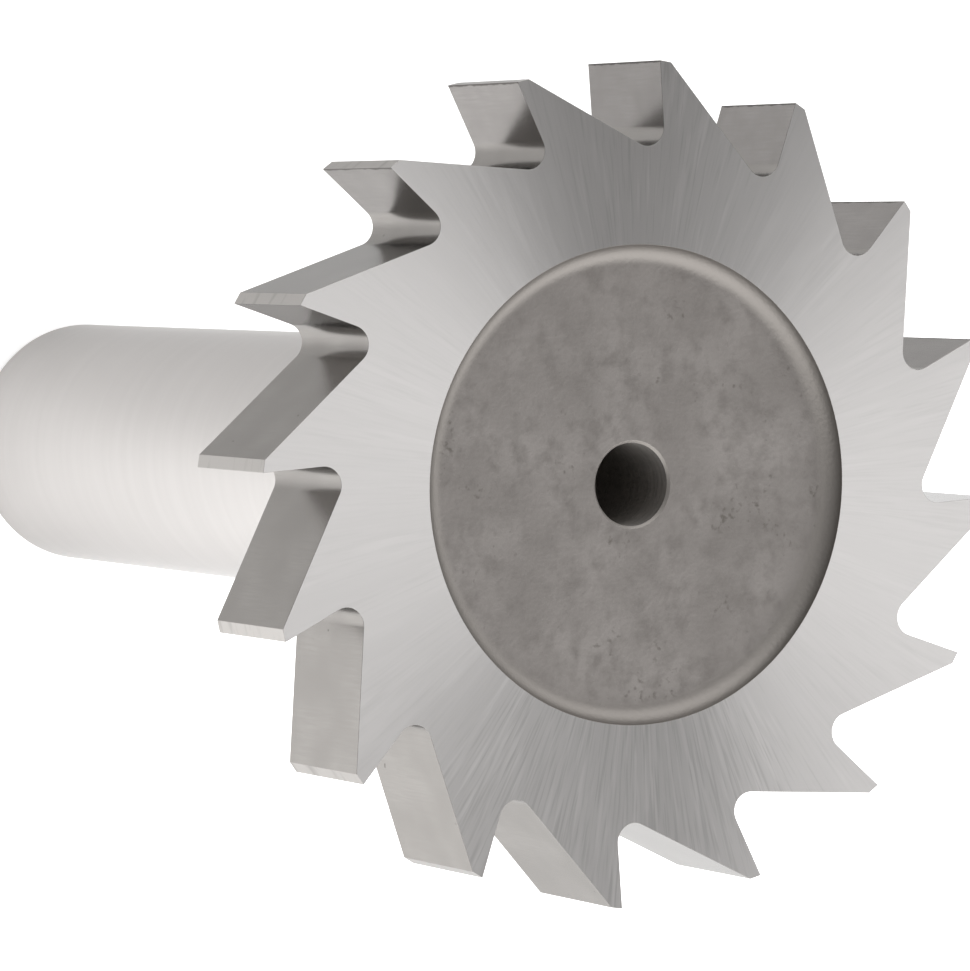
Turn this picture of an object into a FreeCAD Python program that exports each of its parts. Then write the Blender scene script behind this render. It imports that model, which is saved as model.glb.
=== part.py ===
import FreeCAD, Part
import math
import os

# A woodruff keyseat cutter: a toothed disc on a shank, ground from one piece of high-speed steel.
# The shank's end stands at the origin and the cutting face looks up, along +Z.
# Sizes are in millimetres and angles in degrees.

# Whole tool
overall_length = 58.74
head_diameter = 38.1
head_width = 6.35

# Teeth
tooth_count = 16
rake_angle = 7.0
land_width = 0.58
land_relief_angle = 6.0
gullet_angle = 60.0
gullet_radius = 0.85

# Sides of the head, hollow ground so that only the tooth corners rub
side_relief_angle = 0.5

# Recess and work-holding hole in the cutting face
recess_diameter = 21.62
recess_depth = 0.77
recess_corner_radius = 0.9
hole_diameter = 3.75
hole_depth = 9.5
hole_point_angle = 118.0
hole_edge_break = 0.12

# Shank and neck
shank_diameter = 12.7
shank_end_chamfer = 0.4
neck_diameter = 11.11
neck_length = 7.94
neck_fillet_radius = 1.2
shoulder_angle = 45.0

# Stock left on the blank's rim before the teeth are ground, and how far the cutters run past a face
grinding_stock = 0.4
tool_overrun = 1.0

UP = FreeCAD.Vector(0, 0, 1)
FULL_TURN = 360.0
FRONT_PLANE = FreeCAD.Rotation(FreeCAD.Vector(1, 0, 0), FULL_TURN / 4)

head_radius = head_diameter / 2
shank_radius = shank_diameter / 2
neck_radius = neck_diameter / 2
hole_radius = hole_diameter / 2
recess_radius = recess_diameter / 2
blank_radius = head_radius + grinding_stock

head_back = overall_length - head_width
neck_start = head_back - neck_length
recess_floor = overall_length - recess_depth


def tangent(angle):
    return math.tan(math.radians(angle))


def direction(angle):
    # Unit vector at an angle from the first axis
    return FreeCAD.Vector(math.cos(math.radians(angle)), math.sin(math.radians(angle)), 0)


def crossing(start, along, other_start, other_along):
    # Point where two lines in the drawing plane cross
    between = other_start - start
    share = between.cross(other_along).z / along.cross(other_along).z
    return start + along * share


def round_corner(before, corner, after, radius):
    # Tangent arc in a corner: where it starts, its middle and where it ends
    back = (before - corner).normalize()
    ahead = (after - corner).normalize()
    half_angle = back.getAngle(ahead) / 2
    reach = radius / math.tan(half_angle)
    inward = (back + ahead).normalize()
    middle = corner + inward * (radius / math.sin(half_angle) - radius)
    return corner + back * reach, middle, corner + ahead * reach


def closed_outline(corners):
    # Closed wire through (point, radius) corners, each with a radius above zero rounded by a tangent arc
    arcs = []
    for index, (corner, radius) in enumerate(corners):
        before = corners[index - 1][0]
        after = corners[(index + 1) % len(corners)][0]
        if radius > 0:
            arcs.append(round_corner(before, corner, after, radius))
        else:
            arcs.append((corner, corner, corner))
    edges = []
    for index, (start, middle, end) in enumerate(arcs):
        if start != end:
            edges.append(Part.Arc(start, middle, end).toShape())
        edges.append(Part.LineSegment(end, arcs[(index + 1) % len(arcs)][0]).toShape())
    return Part.Wire(edges)


def turned(corners):
    # Solid turned about the tool's axis from a half section of (radius, height, corner radius) points
    outline = closed_outline([(FreeCAD.Vector(r, z, 0), rounding) for r, z, rounding in corners])
    section = Part.Face(outline)
    section.Placement = FreeCAD.Placement(FreeCAD.Vector(), FRONT_PLANE)
    return section.revolve(FreeCAD.Vector(), UP, FULL_TURN)


def make_blank():
    # Shank, shoulder, neck and hollow-ground disc, turned in one piece
    shoulder_height = (shank_radius - neck_radius) / tangent(shoulder_angle)
    rim_rise = grinding_stock * tangent(side_relief_angle)
    centre_dip = head_radius * tangent(side_relief_angle)
    neck_dip = (head_radius - neck_radius) * tangent(side_relief_angle)
    return turned([
        (0, 0, 0),
        (shank_radius - shank_end_chamfer, 0, 0),
        (shank_radius, shank_end_chamfer, 0),
        (shank_radius, neck_start - shoulder_height, 0),
        (neck_radius, neck_start, 0),
        (neck_radius, head_back + neck_dip, neck_fillet_radius),
        (blank_radius, head_back - rim_rise, 0),
        (blank_radius, overall_length + rim_rise, 0),
        (0, overall_length - centre_dip, 0),
    ])


def make_face_cavity():
    # Round-cornered recess in the cutting face, and the drilled hole at its centre
    hole_end = recess_floor - hole_depth
    point_height = hole_radius / tangent(hole_point_angle / 2)
    return turned([
        (0, hole_end - point_height, 0),
        (hole_radius, hole_end, 0),
        (hole_radius, recess_floor - hole_edge_break, 0),
        (hole_radius + hole_edge_break, recess_floor, 0),
        (recess_radius, recess_floor, recess_corner_radius),
        (recess_radius, overall_length + tool_overrun, 0),
        (0, overall_length + tool_overrun, 0),
    ])


def tooth_corners(place):
    # One tooth, from its cutting edge over the land and down the back to the gullet before the next rake face.
    # Seen from the cutting face the teeth follow each other clockwise, for a right-hand cut.
    pitch = FULL_TURN / tooth_count
    turn = -place * pitch
    next_turn = turn - pitch
    cutting_edge = direction(turn) * head_radius
    next_edge = direction(next_turn) * head_radius
    heel = cutting_edge + direction(turn - FULL_TURN / 4 - land_relief_angle) * land_width
    rake_line = direction(next_turn + FULL_TURN / 2 + rake_angle)
    back_line = direction(next_turn + FULL_TURN / 2 + rake_angle + gullet_angle)
    root = crossing(heel, back_line, next_edge, rake_line)
    return [(cutting_edge, 0), (heel, 0), (root, gullet_radius)]


def make_toothed_prism():
    # Straight teeth of the finished outline, longer than the head is wide
    corners = []
    for place in range(tooth_count):
        corners += tooth_corners(place)
    outline = Part.Face(closed_outline(corners))
    outline.translate(UP * (head_back - tool_overrun))
    return outline.extrude(UP * (head_width + 2 * tool_overrun))


def make_tooth_spaces():
    # All that the gullet cutter and the grinding wheel take off the blank's rim
    ring = Part.makeCylinder(blank_radius + tool_overrun, head_width + 2 * tool_overrun,
                             UP * (head_back - tool_overrun))
    return ring.cut(make_toothed_prism())


def make_cutter():
    return make_blank().cut(make_face_cavity()).cut(make_tooth_spaces())


os.makedirs("parts", exist_ok=True)
make_cutter().exportStep("parts/keyseat_cutter.step")
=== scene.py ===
import bpy
import numpy as np
from mathutils import Matrix


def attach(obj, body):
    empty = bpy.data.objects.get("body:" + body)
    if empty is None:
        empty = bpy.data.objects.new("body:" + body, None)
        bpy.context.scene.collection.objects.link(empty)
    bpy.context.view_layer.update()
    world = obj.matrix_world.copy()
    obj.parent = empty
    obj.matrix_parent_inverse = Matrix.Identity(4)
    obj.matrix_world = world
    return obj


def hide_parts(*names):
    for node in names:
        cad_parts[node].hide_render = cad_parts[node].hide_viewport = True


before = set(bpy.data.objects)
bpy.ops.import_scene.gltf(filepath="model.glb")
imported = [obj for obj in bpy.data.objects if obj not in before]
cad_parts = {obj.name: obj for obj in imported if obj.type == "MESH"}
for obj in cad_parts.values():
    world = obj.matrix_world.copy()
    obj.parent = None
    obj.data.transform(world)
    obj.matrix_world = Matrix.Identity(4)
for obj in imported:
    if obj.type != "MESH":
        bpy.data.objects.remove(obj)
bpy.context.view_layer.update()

# Teeth
# Sixteen straight teeth, milled in the rim of a disc of high-speed steel and ground sharp after hardening.
# Each has a hooked rake face, a narrow land behind its cutting edge, a long straight back and a round gullet.
# Sizes are in millimetres and degrees, and the whole mesh is brought to metres when it is made.
millimetre = 0.001
overall_length = 58.74
head_radius = 38.1 / 2
head_width = 6.35
head_back = overall_length - head_width
side_relief_angle = 0.5
tooth_count = 16
tooth_pitch = 360.0 / tooth_count
rake_angle = 7.0
land_width = 0.58
land_relief_angle = 6.0
gullet_angle = 60.0
gullet_radius = 0.85
cutting_edge_radius = 0.02
heel_radius = 0.06
edge_radius = 0.012

# How finely each stretch of a tooth's outline is divided, and the rim from back to front
gullet_front_steps = 9
rake_steps = 8
corner_steps = 4
land_steps = 8
back_steps = 12
gullet_rear_steps = 5
edge_steps = 3
rim_steps = 8


def linear(hex_colour):
    """sRGB hex to linear red, green, blue and alpha: ((v + 0.055) / 1.055) ** 2.4, or v / 12.92 below 0.04045."""
    values = np.array([int(hex_colour[start:start + 2], 16) for start in (1, 3, 5)]) / 255
    values = np.where(values > 0.04045, ((values + 0.055) / 1.055) ** 2.4, values / 12.92)
    return (*values.tolist(), 1.0)


def add_node(tree, kind, settings=None, links=None):
    """Adds one node. Settings name its properties or its sockets. Links join its sockets to another node's first
    output, or to the output named after the node."""
    node = tree.nodes.new(kind)
    for name, value in (settings or {}).items():
        if isinstance(name, str) and hasattr(node, name):
            setattr(node, name, value)
        else:
            node.inputs[name].default_value = value
    for name, source in (links or {}).items():
        source, output = source if isinstance(source, tuple) else (source, 0)
        tree.links.new(source.outputs[output], node.inputs[name])
    return node


steels = []


def new_steel(name, roughness, anisotropy):
    """A bare steel finish: its number among the tool's finishes, its tree and shader, and its place on the tool in
    millimetres. Steel gains less at a glancing angle than most metals, which is its Specular Tint."""
    steel = bpy.data.materials.new(name)
    steel.use_nodes = True
    steels.append(steel)
    tree = steel.node_tree
    tree.nodes.clear()
    shader = add_node(tree, "ShaderNodeBsdfPrincipled", {
        "Metallic": 1.0, "Specular Tint": (0.57, 0.57, 0.57, 1.0), "Roughness": roughness,
        "Anisotropic": anisotropy})
    add_node(tree, "ShaderNodeOutputMaterial", links={"Surface": shader})
    place = add_node(tree, "ShaderNodeTexCoord")
    place = add_node(tree, "ShaderNodeVectorMath", {"operation": "SCALE", "Scale": 1 / millimetre},
                     {0: (place, "Object")})
    return len(steels) - 1, tree, shader, place


def blotches(tree, place, period, detail):
    """Cloudy noise with patches of about half its period, in millimetres."""
    return add_node(tree, "ShaderNodeTexNoise", {"Scale": 1 / period, "Detail": detail}, {"Vector": place})


def grinding_marks(tree, place, across, along):
    """Streaks in line with the tool's axis, or round it: noise with one period in x and y and another in z."""
    place = add_node(tree, "ShaderNodeVectorMath", {"operation": "DIVIDE", 1: (across, across, along)}, {0: place})
    return blotches(tree, place, period=1.0, detail=2.0)


def from_axis(tree, place):
    """The place without its height, and its distance from the tool's axis."""
    flat = add_node(tree, "ShaderNodeVectorMath", {"operation": "MULTIPLY", 1: (1.0, 1.0, 0.0)}, {0: place})
    return flat, (add_node(tree, "ShaderNodeVectorMath", {"operation": "LENGTH"}, {0: flat}), "Value")


def across_lengthwise(tree, shader):
    """Spreads the light across marks that run along the tool's axis: the tangent is the axis x the normal."""
    surface = add_node(tree, "ShaderNodeNewGeometry")
    across = add_node(tree, "ShaderNodeVectorMath", {"operation": "CROSS_PRODUCT", 0: (0.0, 0.0, 1.0)},
                      {1: (surface, "Normal")})
    tree.links.new(across.outputs[0], shader.inputs["Tangent"])


def shaded(tree, pattern, low, high, under, over):
    """Tone that goes from one to another as a pattern goes from low to high, each a hex value or such a tone."""
    share = add_node(tree, "ShaderNodeMapRange", {"From Min": low, "From Max": high}, {"Value": pattern})
    tones = {6: under, 7: over}
    return add_node(tree, "ShaderNodeMix",
                    {"data_type": "RGBA"} | {side: linear(tone) for side, tone in tones.items()
                                             if isinstance(tone, str)},
                    {0: share} | {side: (tone, 2) for side, tone in tones.items() if not isinstance(tone, str)})


def finish_steel(tree, shader, tone, *reliefs):
    """Gives a steel its tone, and its reliefs, each a pattern and its depth in millimetres, with the finest first."""
    tree.links.new(tone.outputs[2], shader.inputs["Base Color"])
    under = {}
    for pattern, depth in reliefs:
        bump = add_node(tree, "ShaderNodeBump", {"Distance": depth * millimetre}, {"Height": pattern} | under)
        under = {"Normal": bump}
    if reliefs:
        tree.links.new(bump.outputs[0], shader.inputs["Normal"])


# Gullets and backs: hardened high-speed steel, ground lengthwise by a formed wheel. The marks run along the axis, so
# the light is spread across them, and here and there a small dark tick is left.
flute_steel, tree, shader, place = new_steel("formed-wheel ground steel", roughness=0.24, anisotropy=0.4)
across_lengthwise(tree, shader)
marks = grinding_marks(tree, place, across=0.09, along=1.6)
clouds = blotches(tree, place, period=2.4, detail=1.0)
ticks = blotches(tree, place, period=0.35, detail=1.0)
# The backs' tone is darker than the sides' steel, partly for their coarser grinding and partly as painted shade for
# the dark surroundings that they mirror
tone = shaded(tree, marks, 0.3, 0.7, "#928F8C", "#989592")
tone = shaded(tree, clouds, 0.35, 0.65, tone, "#8F8C89")
tone = shaded(tree, ticks, 0.77, 0.82, tone, "#726F6C")
finish_steel(tree, shader, tone, (marks, 0.0003))

# Rake faces: the same steel, ground again by the flat of a fine wheel when the tool was sharpened, and a little
# smoother. Along the cutting edge a ragged dark line a tenth of a millimetre wide is painted shade.
rake_steel, tree, shader, place = new_steel("sharpened steel", roughness=0.2, anisotropy=0.4)
across_lengthwise(tree, shader)
marks = grinding_marks(tree, place, across=0.1, along=2.0)
clouds = blotches(tree, place, period=1.5, detail=2.0)
# The rake faces' tone is darker than the sides' steel, partly for their grinding and partly as painted shade for the
# dark surroundings that they mirror
tone = shaded(tree, marks, 0.3, 0.7, "#8C8987", "#93908E")
tone = shaded(tree, clouds, 0.35, 0.7, tone, "#898684")
_, distance = from_axis(tree, place)
raggedness = 0.2
ragged = add_node(tree, "ShaderNodeMath", {"operation": "MULTIPLY_ADD", 1: raggedness},
                  {0: blotches(tree, place, period=0.6, detail=3.0), 2: distance})
# Painted shade: the dark ragged line along the cutting edge
tone = shaded(tree, ragged, head_radius - 0.01, head_radius + 0.03, tone, "#5F5C5A")
finish_steel(tree, shader, tone, (marks, 0.0005))

# Lands: ground last, by a wheel that turned in the same plane as the tool, so short dark marks cross them
land_steel, tree, shader, place = new_steel("ground land steel", roughness=0.3, anisotropy=0.3)
marks = grinding_marks(tree, place, across=2.5, along=0.5)
tone = shaded(tree, marks, 0.54, 0.72, "#AFACA9", "#9B9895")
finish_steel(tree, shader, tone)


def heading(degrees):
    """Unit vectors (cos a, sin a) for angles in degrees."""
    radians = np.radians(degrees)
    return np.stack([np.cos(radians), np.sin(radians)], axis=-1)


def crossing(start, along, other_start, other_along):
    """Point start + s * along where two lines in the plane cross: s = (q - p) x v / (u x v)."""
    between = other_start - start
    share = (between[0] * other_along[1] - between[1] * other_along[0]) / (
        along[0] * other_along[1] - along[1] * other_along[0])
    return start + along * share


def rounded_corner(before, corner, after, radius, shares):
    """Points of the arc that touches both sides of a corner, at shares 0 to 1 of its turn, with their normals and
    the arc's centre, first normal's angle and turn. The material lies to the right of the path. With d the turn, the
    arc starts radius * tan(|d| / 2) before the corner, its normal turns evenly by d, and each point is the centre
    plus or minus radius times the normal."""
    arriving = (corner - before) / np.linalg.norm(corner - before)
    leaving = (after - corner) / np.linalg.norm(after - corner)
    first = np.degrees(np.arctan2(arriving[1], arriving[0])) + 90.0
    turn = np.degrees(np.arctan2(arriving[0] * leaving[1] - arriving[1] * leaving[0], arriving @ leaving))
    bend = -np.sign(turn) * radius
    start = corner - arriving * radius * np.tan(np.radians(abs(turn) / 2))
    centre = start - bend * heading(first)
    normals = heading(first + turn * np.asarray(shares))
    return centre + bend * normals, normals, centre, first, turn


def straight(start, end, normal, steps):
    """Evenly spaced points between two points, without the ends, and the one normal they share."""
    shares = np.linspace(0, 1, steps + 1)[1:-1, None]
    return start * (1 - shares) + end * shares, np.repeat(normal[None], steps - 1, axis=0)


cutting_edge = heading(0.0) * head_radius
heel = cutting_edge + heading(-90.0 - land_relief_angle) * land_width
earlier_heel = heading(tooth_pitch) * head_radius + heading(tooth_pitch - 90.0 - land_relief_angle) * land_width
root = crossing(earlier_heel, heading(180.0 + rake_angle + gullet_angle),
                cutting_edge, heading(180.0 + rake_angle))
to_next = np.stack([heading(-tooth_pitch), heading(90.0 - tooth_pitch)], axis=1)
next_root = to_next @ root

# The gullet's arc is divided at its lowest point, where its normal points straight out from the axis
_, _, gullet_centre, first, turn = rounded_corner(earlier_heel, root, cutting_edge, gullet_radius, [0.0])
gullet_bearing = np.degrees(np.arctan2(gullet_centre[1], gullet_centre[0]))
lowest = ((gullet_bearing - first + 180.0) % 360.0 - 180.0) / turn
whole_turn = np.linspace(0, 1, corner_steps + 1)
arcs = [rounded_corner(*corner)[:2] for corner in (
    (earlier_heel, root, cutting_edge, gullet_radius, np.linspace(lowest, 1, gullet_front_steps + 1)),
    (root, cutting_edge, heel, cutting_edge_radius, whole_turn),
    (cutting_edge, heel, next_root, heel_radius, whole_turn),
    (heel, next_root, to_next @ cutting_edge, gullet_radius, np.linspace(0, lowest, gullet_rear_steps + 1)),
)]
stretches = arcs[:1]
for before, after, steps in zip(arcs, arcs[1:], (rake_steps, land_steps, back_steps)):
    stretches += [straight(before[0][-1], after[0][0], after[1][0], steps), after]
tooth_points = np.concatenate([points for points, _ in stretches])
tooth_normals = np.concatenate([normals for _, normals in stretches])

# The rake side ends in the middle of the cutting edge, and the land in the middle of the heel
land_start = gullet_front_steps + rake_steps + corner_steps // 2
across_steps = corner_steps + land_steps
land_end = land_start + across_steps
tooth_finish = np.full(len(tooth_points) - 1, flute_steel)
tooth_finish[gullet_front_steps:land_start] = rake_steel
tooth_finish[land_start:land_end] = land_steel

# All sixteen teeth, clockwise as seen from the cutting face; a tooth's last point is the next one's first
turns = np.stack([heading(-tooth_pitch * np.arange(tooth_count)),
                  heading(90.0 - tooth_pitch * np.arange(tooth_count))], axis=2)
outline = np.einsum("tij,pj->tpi", turns, tooth_points)
outline_normals = np.einsum("tij,pj->tpi", turns, tooth_normals)


def face_height(points, front):
    """Height of the front or back of the head at points in the plane: a cone of side_relief_angle, which dips
    towards the axis by (head_radius - r) * tan(side_relief_angle) from the plane of the cutting edges."""
    dip = (head_radius - np.linalg.norm(points, axis=-1)) * np.tan(np.radians(side_relief_angle))
    return overall_length - dip if front else head_back + dip


def at_height(points, heights):
    """Points in the plane with a height: (x, y, z)."""
    return np.concatenate([points, np.broadcast_to(heights, points.shape[:-1])[..., None]], axis=-1)


def face_normal(points, front):
    """Normal of that cone: straight out of the face, leant to the axis by side_relief_angle."""
    outwards = points / np.linalg.norm(points, axis=-1, keepdims=True)
    lean = np.radians(side_relief_angle)
    return at_height(-outwards * np.sin(lean), np.cos(lean) if front else -np.cos(lean))


surfaces = []


def add_grid(points, normals, finish, closed=False, outward=True):
    """Keeps a grid of points and their normals as quads (i, j), (i + 1, j), (i + 1, j + 1), (i, j + 1), of one
    finish or one for each row. A closed grid's last row meets its first. Corners go the other way round where
    outward is false."""
    rows, columns = points.shape[:2]
    i, j = np.meshgrid(np.arange(rows if closed else rows - 1), np.arange(columns - 1), indexing="ij")
    after = (i + 1) % rows
    corners = np.stack([i * columns + j, after * columns + j, after * columns + j + 1, i * columns + j + 1],
                       axis=-1).reshape(-1, 4)
    finishes = np.broadcast_to(np.reshape(finish, (-1, 1)), i.shape).reshape(-1)
    surfaces.append((points.reshape(-1, 3), normals.reshape(-1, 3), corners if outward else corners[:, ::-1],
                     finishes))


def rounded_edge(loop, loop_normals, front):
    """Columns of points and normals round the edge between a face of the head and the rim. At a turn a, a point is
    edge_radius * (1 - sin a) inside the outline and edge_radius * (1 - cos a) short of the face, and its normal is
    the face's times cos a plus the rim's times sin a."""
    points = []
    normals = []
    for angle in np.radians(np.linspace(0, 90, edge_steps + 1)):
        edge = loop - loop_normals * edge_radius * (1 - np.sin(angle))
        drop = edge_radius * (1 - np.cos(angle))
        points.append(at_height(edge, face_height(edge, front) + (-drop if front else drop)))
        normals.append(face_normal(edge, front) * np.cos(angle) + at_height(loop_normals * np.sin(angle), 0.0))
    return points, normals


# The rim: the outline carried from back to front, between its two rounded edges
loop = outline[:, :-1].reshape(-1, 2)
loop_normals = outline_normals[:, :-1].reshape(-1, 2)
back_edge, back_edge_normals = rounded_edge(loop, loop_normals, front=False)
front_edge, front_edge_normals = rounded_edge(loop, loop_normals, front=True)
rim = [back_edge[-1] * (1 - share) + front_edge[-1] * share for share in np.linspace(0, 1, rim_steps + 1)[1:-1]]
rim_normals = [at_height(loop_normals, 0.0)] * len(rim)
add_grid(np.stack(back_edge + rim + front_edge[::-1], axis=1),
         np.stack(back_edge_normals + rim_normals + front_edge_normals[::-1], axis=1),
         np.tile(tooth_finish, tooth_count), closed=True, outward=False)

# Sides of the head
# Both sides of the disc are ground hollow by half a degree, so that only the teeth's corners rub in the keyseat.
# The work turned under a cup wheel, so fine marks run out from the axis like spokes and the light fans across them.
side_steel, tree, shader, place = new_steel("radially ground steel", roughness=0.5, anisotropy=0.9)


def turned_directions(tree, place):
    """On a piece turned about the axis: the unit vector away from the axis, and the one round it, up x outwards."""
    flat, _ = from_axis(tree, place)
    outwards = add_node(tree, "ShaderNodeVectorMath", {"operation": "NORMALIZE"}, {0: flat})
    around = add_node(tree, "ShaderNodeVectorMath", {"operation": "CROSS_PRODUCT", 0: (0.0, 0.0, 1.0)},
                      {1: outwards})
    return outwards, around


def spokes(tree, outwards, distance, width, length):
    """Streaks that run out from the axis: noise at (outwards / width, r / length), so that they are as wide as
    width of the radius and fade along their length in millimetres."""
    along = add_node(tree, "ShaderNodeMath", {"operation": "DIVIDE", 1: length}, {0: distance})
    along = add_node(tree, "ShaderNodeCombineXYZ", links={"Z": along})
    place = add_node(tree, "ShaderNodeVectorMath", {"operation": "MULTIPLY_ADD", 1: (1 / width,) * 3},
                     {0: outwards, 2: along})
    return blotches(tree, place, period=1.0, detail=2.0)


# Single marks are a few hundredths of a millimetre wide and are drawn as coarse as they need to show: at 15 mm from
# the axis the scratches are 0.12 mm wide, the bands of them 0.3 mm and the soft shades 2 mm
outwards, around = turned_directions(tree, place)
_, distance = from_axis(tree, place)
scratches = spokes(tree, outwards, distance, width=0.008, length=2.5)
bands = spokes(tree, outwards, distance, width=0.02, length=4.0)
shades = spokes(tree, outwards, distance, width=0.13, length=14.0)
tone = shaded(tree, scratches, 0.45, 0.75, "#B9B7B6", "#B4B2B1")
tone = shaded(tree, bands, 0.52, 0.7, tone, "#BBB9B8")
tone = shaded(tree, shades, 0.4, 0.7, tone, "#B7B5B4")

# Painted light and shade: in a wide sector about +x and a narrow one about -x, some scratches are painted
# brighter and some darker, where the light that they fan out would show them most
sector_shift = 0.08
sector = add_node(tree, "ShaderNodeSeparateXYZ", links={0: outwards})
sector = add_node(tree, "ShaderNodeMath", {"operation": "ADD", 1: sector_shift}, {0: (sector, "X")})
sector = add_node(tree, "ShaderNodeMath", {"operation": "ABSOLUTE"}, {0: sector})
sector = add_node(tree, "ShaderNodeMapRange", {"From Min": 0.5, "From Max": 0.95}, {"Value": sector})
# Painted glints and painted shade streaks, only in those sectors
painted_glint_streaks = add_node(tree, "ShaderNodeMath", {"operation": "MULTIPLY"}, {0: sector, 1: bands})
painted_shade_streaks = add_node(tree, "ShaderNodeMath", {"operation": "MULTIPLY"}, {0: sector, 1: scratches})
tone = shaded(tree, painted_glint_streaks, 0.5, 0.68, tone, "#C0BEBD")
tone = shaded(tree, painted_shade_streaks, 0.5, 0.68, tone, "#ADABAA")
finish_steel(tree, shader, tone, (scratches, 0.001), (bands, 0.004))

# No bundle of scratches runs quite straight out. Each leans a degree or two, which turns the light that it spreads.
most_lean = 0.03
lean = add_node(tree, "ShaderNodeMapRange",
                {"From Min": 0.3, "From Max": 0.7, "To Min": -most_lean, "To Max": most_lean}, {"Value": bands})
tangent = add_node(tree, "ShaderNodeVectorMath", {"operation": "MULTIPLY_ADD"}, {0: outwards, 1: lean, 2: around})
tree.links.new(tangent.outputs[0], shader.inputs["Tangent"])

# Sides of each tooth: a patch between its rake side, its back, its land and an arc at the gullets' depth.
# P(u, v) is the sum of the straight lines between facing sides, less the straight-sided patch of its corners,
# with v the share of the sides' length, so that the short steps at the tooth's corners stay short.
base_radius = np.linalg.norm((tooth_points - tooth_normals * edge_radius)[0])
sides = np.stack([tooth_points[:land_start + 1], tooth_points[land_end:][::-1]])
lengths = np.cumsum(np.linalg.norm(np.diff(sides, axis=1), axis=2), axis=1)
shares = (lengths / lengths[:, -1:]).mean(axis=0)
u = np.linspace(0, 1, across_steps + 1)[:, None, None]
v = np.concatenate([[0.0], shares])[None, :, None]
for front in (True, False):
    for tooth in range(tooth_count):
        edge = outline[tooth] - outline_normals[tooth] * edge_radius
        rake_side = edge[None, :land_start + 1]
        top = edge[land_start:land_end + 1, None]
        back_side = edge[None, land_end:][:, ::-1]
        base = heading(gullet_bearing - tooth_pitch * (tooth + u[:, 0, 0]))[:, None] * base_radius
        patch = ((1 - u) * rake_side + u * back_side + (1 - v) * base + v * top
                 - (1 - u) * (1 - v) * rake_side[:, :1] - u * (1 - v) * back_side[:, :1]
                 - (1 - u) * v * rake_side[:, -1:] - u * v * back_side[:, -1:])
        add_grid(at_height(patch, face_height(patch, front)), face_normal(patch, front), side_steel, outward=front)

ring_angles = gullet_bearing - np.linspace(0, 360, tooth_count * across_steps, endpoint=False)
rounding_steps = 8


def revolve(profile, finish, front):
    """Turns a half section of (radius, height, normal's radius, normal's height) rows about the axis, to points
    (r cos a, r sin a, z). The half section runs inwards, so its normals point left, and right on the front."""
    around = heading(ring_angles)[:, None]
    shape = (len(ring_angles), len(profile), 1)
    points, normals = (np.concatenate([around * part[None, :, :1], np.broadcast_to(part[None, :, 1:], shape)],
                                      axis=2) for part in (profile[:, :2], profile[:, 2:]))
    add_grid(points, -normals if front else normals, finish, closed=True, outward=not front)


def section(corners):
    """Rows (radius, height, normal's radius, normal's height) through corners (radius, height, corner radius,
    steps): each corner is rounded by its radius, and the straight run that leads to it has that many steps."""
    corners = [(np.array(corner[:2], float), corner[2], corner[3]) for corner in corners]
    rows = []
    last = corners[0][0]
    for index, (corner, radius, steps) in enumerate(corners[1:], start=1):
        along = (corner - last) / np.linalg.norm(corner - last)
        normal = np.array([-along[1], along[0]])
        if radius > 0:
            arc = np.hstack(rounded_corner(corners[index - 1][0], corner, corners[index + 1][0], radius,
                                           np.linspace(0, 1, rounding_steps + 1))[:2])
        else:
            arc = np.concatenate([corner, normal])[None]
        if index == 1:
            rows.append(np.concatenate([last, normal])[None])
        run, run_normals = straight(last, arc[0, :2], normal, steps)
        rows += [np.hstack([run, run_normals]), arc]
        last = arc[-1, :2]
    return np.concatenate(rows)


def cone_height(radius, front):
    """Height of the front or back of the head at a distance from the axis."""
    return float(face_height(np.array([radius, 0.0]), front))


# The cutting face inside the teeth. The recess's corner is cut off by the face before it stands upright, so its arc
# meets the face at an edge. The section's last corner only shows the way down the arc, and is left out.
recess_radius = 21.62 / 2
recess_depth = 0.77
recess_floor = overall_length - recess_depth
recess_corner_radius = 0.9
recess_edge_radius = 0.015
corner_centre = np.array([recess_radius - recess_corner_radius, recess_floor + recess_corner_radius])
rim_height = cone_height(recess_radius, True)
rim_angle = np.degrees(np.arcsin((rim_height - corner_centre[1]) / recess_corner_radius))
recess_rim = corner_centre + recess_corner_radius * heading(rim_angle)
ring_steps = 12
ring_profile = section([
    (base_radius, cone_height(base_radius, True), 0, 1),
    (*recess_rim, recess_edge_radius, ring_steps),
    (*(recess_rim + heading(rim_angle - 90.0)), 0, 1),
])[:-1]
rim_start = len(ring_profile) - 1 - rounding_steps
revolve(ring_profile[:rim_start + 1], side_steel, front=True)

# Recess and hole
# A shallow round-cornered recess turned in the cutting face, with the small drilled hole that held the blank. Neither
# was ground after hardening, so the recess keeps a dull warm skin with darker blotches and small dark specks.
hole_radius = 3.75 / 2
hole_depth = 9.5
hole_point_angle = 118.0
hole_edge_break = 0.12
hole_edge_radius = 0.03
hole_bottom_radius = 0.05
recess_steel, tree, shader, place = new_steel("heat-treated steel skin", roughness=0.56, anisotropy=0.0)
spots = blotches(tree, place, period=0.3, detail=2.0)
crowds = blotches(tree, place, period=2.6, detail=1.0)
specks = add_node(tree, "ShaderNodeMath", {"operation": "MULTIPLY"}, {0: spots, 1: crowds})
grain = blotches(tree, place, period=0.2, detail=3.0)
clouds = blotches(tree, place, period=3.2, detail=4.0)
smudges = blotches(tree, place, period=0.8, detail=5.0)
tone = shaded(tree, clouds, 0.35, 0.65, "#7E7A77", "#8A8683")
tone = shaded(tree, smudges, 0.42, 0.68, tone, "#787471")
tone = shaded(tree, specks, 0.385, 0.5, tone, "#686460")

# The recess's round corner is painted a little brighter than its floor: a painted highlight on the corner
_, distance = from_axis(tree, place)
corner_start = recess_radius - recess_corner_radius
tone = shaded(tree, distance, corner_start - 0.1, corner_start + 0.3, tone, "#8B8783")
finish_steel(tree, shader, tone, (grain, 0.015))

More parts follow.
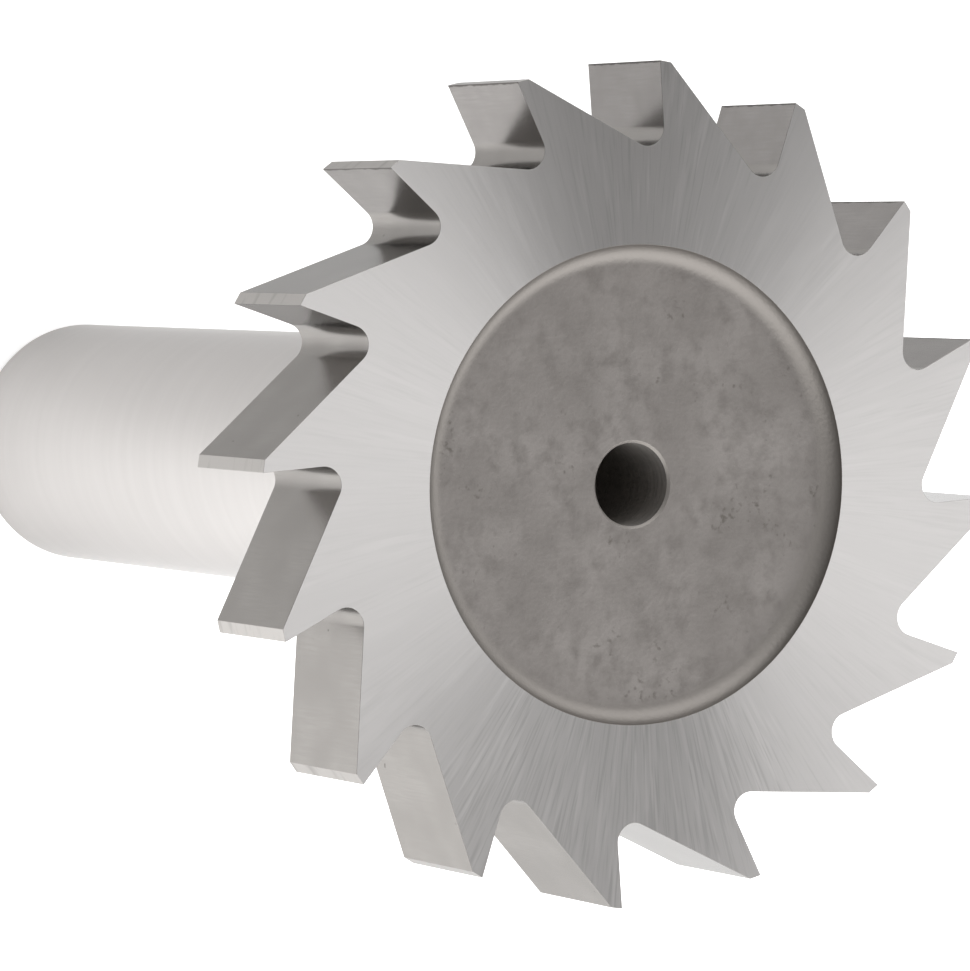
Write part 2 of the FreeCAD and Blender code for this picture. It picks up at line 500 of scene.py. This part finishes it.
# The corner's rows start three degrees down its arc, past the rounded rim
corner_rows = 15
corner_turn = np.linspace(rim_angle - 3.0, -90.0, corner_rows)
corner_profile = np.hstack([corner_centre + recess_corner_radius * heading(corner_turn), heading(corner_turn)])
revolve(np.concatenate([ring_profile[rim_start:], corner_profile]), recess_steel, front=True)
floor_steps, edge_break_steps, hole_steps, point_steps = 16, 2, 18, 6
cavity_profile = section([
    (*corner_profile[-1, :2], 0, 1),
    (hole_radius + hole_edge_break, recess_floor, hole_edge_radius, floor_steps),
    (hole_radius, recess_floor - hole_edge_break, hole_edge_radius, edge_break_steps),
    (hole_radius, recess_floor - hole_depth, hole_bottom_radius, hole_steps),
    (0.0, recess_floor - hole_depth - hole_radius / np.tan(np.radians(hole_point_angle / 2)), 0, point_steps),
])
hole_start = np.argmax(cavity_profile[:, 0] < hole_radius + hole_edge_break)
revolve(cavity_profile[:hole_start + 1], recess_steel, front=True)

# The drill left shallow rings in the hole's rough wall, a fifth of a millimetre apart. The broken edge keeps the
# duller scale of the heat treatment. The wall is painted darker deep down and lighter towards the mouth: painted
# shade and painted light inside the hole.
hole_steel, tree, shader, place = new_steel("drilled steel", roughness=0.56, anisotropy=0.0)
rings = grinding_marks(tree, place, across=6.0, along=0.2)
tone = shaded(tree, rings, 0.3, 0.7, "#B4B0AC", "#C6C2BE")
height = add_node(tree, "ShaderNodeSeparateXYZ", links={0: place})
# Painted shade: darker deep down in the hole
tone = shaded(tree, (height, "Z"), recess_floor - 4.5, recess_floor - 1.0, "#ACA8A4", tone)
wall_top = recess_floor - hole_edge_break
tone = shaded(tree, (height, "Z"), wall_top - 0.05, wall_top, tone, "#928E8A")
finish_steel(tree, shader, tone, (rings, 0.02))
revolve(cavity_profile[hole_start:], hole_steel, front=True)

# Neck and shank
# The neck is turned down behind the head to clear the work, and runs up a 45 degree shoulder to the shank, which is
# ground all round to fit a collet. The shank's marking is left bare and its end is plain, with a small chamfer.
neck_radius = 11.11 / 2
neck_length = 7.94
neck_start = head_back - neck_length
neck_fillet_radius = 1.2
shoulder_edge_radius = 0.08
shank_radius = 12.7 / 2
shank_end_chamfer = 0.4
shank_edge_radius = 0.06
neck_steel, tree, shader, place = new_steel("turned steel", roughness=0.35, anisotropy=0.4)


def across_turning(tree, shader, place):
    """Spreads the light across marks that run round the axis: the tangent is the surface's normal x around."""
    _, around = turned_directions(tree, place)
    surface = add_node(tree, "ShaderNodeNewGeometry")
    across = add_node(tree, "ShaderNodeVectorMath", {"operation": "CROSS_PRODUCT"},
                      {0: (surface, "Normal"), 1: around})
    tree.links.new(across.outputs[0], shader.inputs["Tangent"])


across_turning(tree, shader, place)
marks = grinding_marks(tree, place, across=5.0, along=0.15)
tone = shaded(tree, marks, 0.3, 0.7, "#A8A4A0", "#BAB7B4")
finish_steel(tree, shader, tone, (marks, 0.006))

# One section runs in over the back of the head, along the neck and down the shoulder. The back of the head is ground
# like the cutting face as far as the neck's fillet.
back_face_steps, neck_steps, shoulder_steps = 16, 10, 3
back_profile = section([
    (base_radius, cone_height(base_radius, False), 0, 1),
    (neck_radius, cone_height(neck_radius, False), neck_fillet_radius, back_face_steps),
    (neck_radius, neck_start, shoulder_edge_radius, neck_steps),
    (shank_radius, neck_start - (shank_radius - neck_radius), shoulder_edge_radius, shoulder_steps),
    (shank_radius, 0.0, 0, 1),
])
face_end = np.argmax(back_profile[:, 0] < neck_radius + neck_fillet_radius)
shank_top = len(back_profile) - 2
revolve(back_profile[:face_end + 1], side_steel, front=False)
revolve(back_profile[face_end:shank_top + 1], neck_steel, front=False)

# The shank's marks are a few hundredths of a millimetre apart, and are drawn as coarse as they need to show
shank_steel, tree, shader, place = new_steel("cylindrically ground steel", roughness=0.28, anisotropy=0.55)
across_turning(tree, shader, place)
marks = grinding_marks(tree, place, across=9.0, along=0.6)
tone = shaded(tree, marks, 0.3, 0.7, "#C3C0BE", "#C6C3C1")
finish_steel(tree, shader, tone)
shank_steps, chamfer_steps, end_steps = 30, 2, 6
shank_profile = section([
    (*back_profile[shank_top, :2], 0, 1),
    (shank_radius, shank_end_chamfer, shank_edge_radius, shank_steps),
    (shank_radius - shank_end_chamfer, 0.0, shank_edge_radius, chamfer_steps),
    (0.0, 0.0, 0, end_steps),
])
revolve(shank_profile, shank_steel, front=False)

# The tool in one piece
# It was turned from one bar, so it is one closed mesh: points that fall together are made one, and quads at the axis
# become triangles. Each point has the mean of the exact normals that meet there, and each face its finish's number.
weld_digits = 6
starts = np.cumsum([0] + [len(surface[0]) for surface in surfaces[:-1]])
points, normals = (np.concatenate([surface[part] for surface in surfaces]) for part in (0, 1))
quads = np.concatenate([surface[2] + start for surface, start in zip(surfaces, starts)])
finishes = np.concatenate([surface[3] for surface in surfaces])
_, kept, welded = np.unique(np.round(points, weld_digits), axis=0, return_index=True, return_inverse=True)
welded = welded.reshape(-1)
quads = welded[quads]
doubled = quads == np.roll(quads, -1, axis=1)
at_axis = doubled.any(axis=1)
faces = quads[~at_axis].tolist() + quads[at_axis][~doubled[at_axis]].reshape(-1, 3).tolist()
finishes = np.concatenate([finishes[~at_axis], finishes[at_axis]])
met = np.zeros((len(kept), 3))
np.add.at(met, welded, normals)
mesh = bpy.data.meshes.new("cutter")
mesh.from_pydata(points[kept] * millimetre, [], faces)
for steel in steels:
    mesh.materials.append(steel)
mesh.polygons.foreach_set("material_index", finishes.astype(np.int32))
mesh.polygons.foreach_set("use_smooth", np.ones(len(faces), bool))
mesh.update()
mesh.normals_split_custom_set_from_vertices((met / np.linalg.norm(met, axis=1, keepdims=True)).tolist())
cutter = bpy.data.objects.new("cutter", mesh)
bpy.context.scene.collection.objects.link(cutter)
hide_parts("keyseat_cutter")
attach(cutter, "root")

# Floor, light and camera
# A white table between two big soft boxes, the brighter one on the side that the picture's foot shows, as for a
# catalogue picture. The table keeps the tool's shadow, and glows more towards the brighter box.
# It reaches two metres each way, and lies a twentieth of a millimetre under the tool's end.
table_half = 2.0
table_top = -0.00005
table = bpy.data.meshes.new("table")
table.from_pydata([(x * table_half, y * table_half, table_top) for x, y in ((-1, -1), (1, -1), (1, 1), (-1, 1))],
                  [], [(0, 1, 2, 3)])
floor = bpy.data.objects.new("floor", table)
bpy.context.scene.collection.objects.link(floor)
paper = bpy.data.materials.new("white paper")
paper.use_nodes = True
tree = paper.node_tree
tree.nodes.clear()
white = add_node(tree, "ShaderNodeBsdfDiffuse", {"Color": linear("#F8F8F8")})

# The glow shows only straight to the camera, in the steel and through clear things, so that it lights nothing.
# It grows from nothing to its most over a few centimetres of x + y / 4.
most_glow = 0.8
glow_from, glow_to = -0.025, 0.018
path = add_node(tree, "ShaderNodeLightPath")
seen = add_node(tree, "ShaderNodeMath", {"operation": "MAXIMUM"},
                {0: (path, "Is Camera Ray"), 1: (path, "Is Glossy Ray")})
seen = add_node(tree, "ShaderNodeMath", {"operation": "MAXIMUM"}, {0: seen, 1: (path, "Is Transmission Ray")})
place = add_node(tree, "ShaderNodeTexCoord")
place = add_node(tree, "ShaderNodeVectorMath", {"operation": "DOT_PRODUCT", 1: (1.0, 0.25, 0.0)},
                 {0: (place, "Object")})
glow = add_node(tree, "ShaderNodeMapRange",
                {"From Min": glow_from, "From Max": glow_to, "To Min": 0.0, "To Max": most_glow},
                {"Value": (place, "Value")})
glow = add_node(tree, "ShaderNodeMath", {"operation": "MULTIPLY"}, {0: seen, 1: glow})
glow = add_node(tree, "ShaderNodeEmission", {"Color": (1.0, 1.0, 1.0, 1.0)}, {"Strength": glow})
both = add_node(tree, "ShaderNodeAddShader", links={0: white, 1: glow})
add_node(tree, "ShaderNodeOutputMaterial", links={"Surface": both})
table.materials.append(paper)

world = bpy.data.worlds.new("studio")
bpy.context.scene.world = world
world.use_nodes = True
tree = world.node_tree
tree.nodes.clear()
room = add_node(tree, "ShaderNodeBackground", {"Color": linear("#FFFEFD"), "Strength": 0.38})
add_node(tree, "ShaderNodeOutputWorld", links={"Surface": room})


def soft_box(name, azimuth, elevation, distance, width, height, brightness):
    """A rectangular lamp that faces the tool from an azimuth and elevation in degrees, at a distance in metres.
    Its power is pi * width * height * brightness, which makes its face that bright."""
    back = np.append(heading(azimuth) * np.cos(np.radians(elevation)), np.sin(np.radians(elevation)))
    right = np.append(heading(azimuth + 90.0), 0.0)
    turned = np.eye(4)
    turned[:3, :3] = np.stack([right, np.cross(back, right), back], axis=1)
    turned[:3, 3] = back * distance + (0.0, 0.0, overall_length * millimetre)
    lamp = bpy.data.lights.new(name, "AREA")
    lamp.shape = "RECTANGLE"
    lamp.size = width
    lamp.size_y = height
    lamp.energy = np.pi * width * height * brightness
    holder = bpy.data.objects.new(name, lamp)
    holder.matrix_world = Matrix(turned.tolist())
    holder.visible_camera = False
    bpy.context.scene.collection.objects.link(holder)


soft_box("key", azimuth=20.0, elevation=36.0, distance=0.8, width=2.5, height=1.0, brightness=2.15)
soft_box("fill", azimuth=160.0, elevation=27.0, distance=0.8, width=1.4, height=0.9, brightness=1.8)

# The camera is the one that was fitted to the photo. Its place is in millimetres too.
camera = bpy.data.cameras.new("camera")
camera.sensor_fit = "HORIZONTAL"
camera.sensor_width = 36.0
camera.lens = 198.74
camera.clip_start = 0.02
camera.clip_end = 20.0
viewer = bpy.data.objects.new("camera", camera)
camera_place = np.array([-4.934, -124.493, 264.051])
right = np.array([-0.04405, 0.86946, 0.49203])
up = np.array([-0.99879, -0.02753, -0.04076])
seat = np.eye(4)
seat[:3, :3] = np.stack([right, up, np.cross(right, up)], axis=1)
seat[:3, 3] = camera_place * millimetre
viewer.matrix_world = Matrix(seat.tolist())
bpy.context.scene.collection.objects.link(viewer)
bpy.context.scene.camera = viewer
bpy.context.scene.view_settings.view_transform = "Standard"
